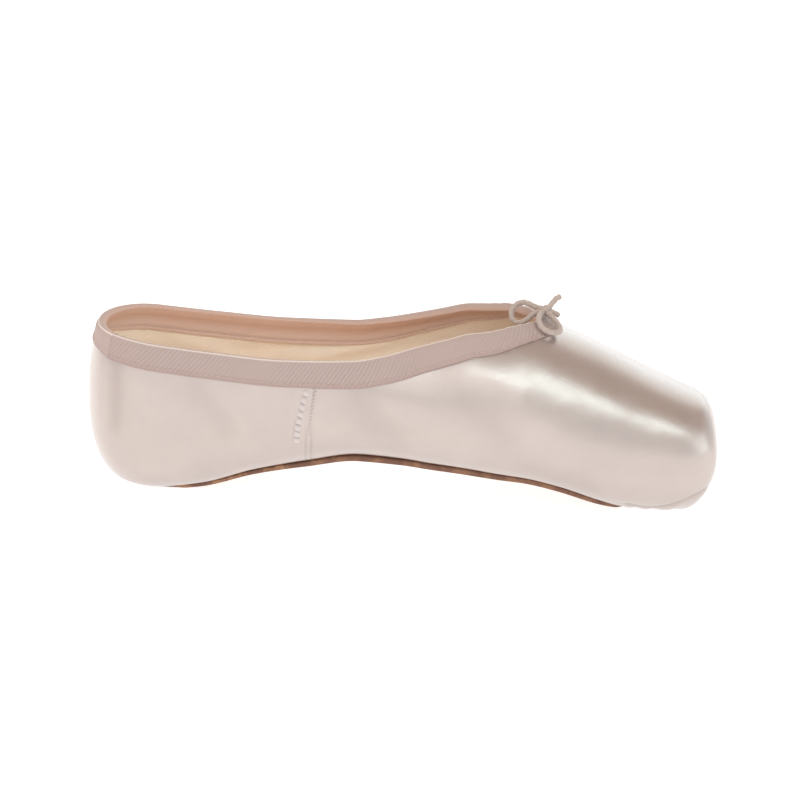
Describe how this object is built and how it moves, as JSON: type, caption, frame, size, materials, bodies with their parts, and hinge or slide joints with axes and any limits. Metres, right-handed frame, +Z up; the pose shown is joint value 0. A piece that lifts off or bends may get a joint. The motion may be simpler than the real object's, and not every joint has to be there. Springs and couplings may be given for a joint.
{
  "type": "pointe shoe",
  "caption": "Satin pointe shoe with a hollow straight-lasted upper, hard toe box, twill-bound collar drawn in by a bow, and a short leather sole.",
  "frame": {"origin": "centre of the shoe's plan box, on the floor that the sole stands on, bow left out", "axes": "+X from heel to toe, +Y to the wearer's left with the toe ahead, +Z up"},
  "size_m": [0.24, 0.07, 0.0794],
  "materials": {
    "satin": "pale pink satin, soft directional sheen",
    "leather": "brown suede-side sole leather, cut edges",
    "lining": "cream cotton drill lining",
    "tape": "pink herringbone twill tape with a stitched edge",
    "cord": "soft cotton drawstring, greyed pink"
  },
  "bodies": {
    "root": {"upper": "satin", "outsole": "leather", "insole": "lining", "collar_binding": "tape", "drawstring_knot": "cord", "drawstring_loop_far": "cord", "drawstring_loop_near": "cord", "drawstring_end_far": "cord", "drawstring_end_near": "cord"}
  },
  "joints": []
}
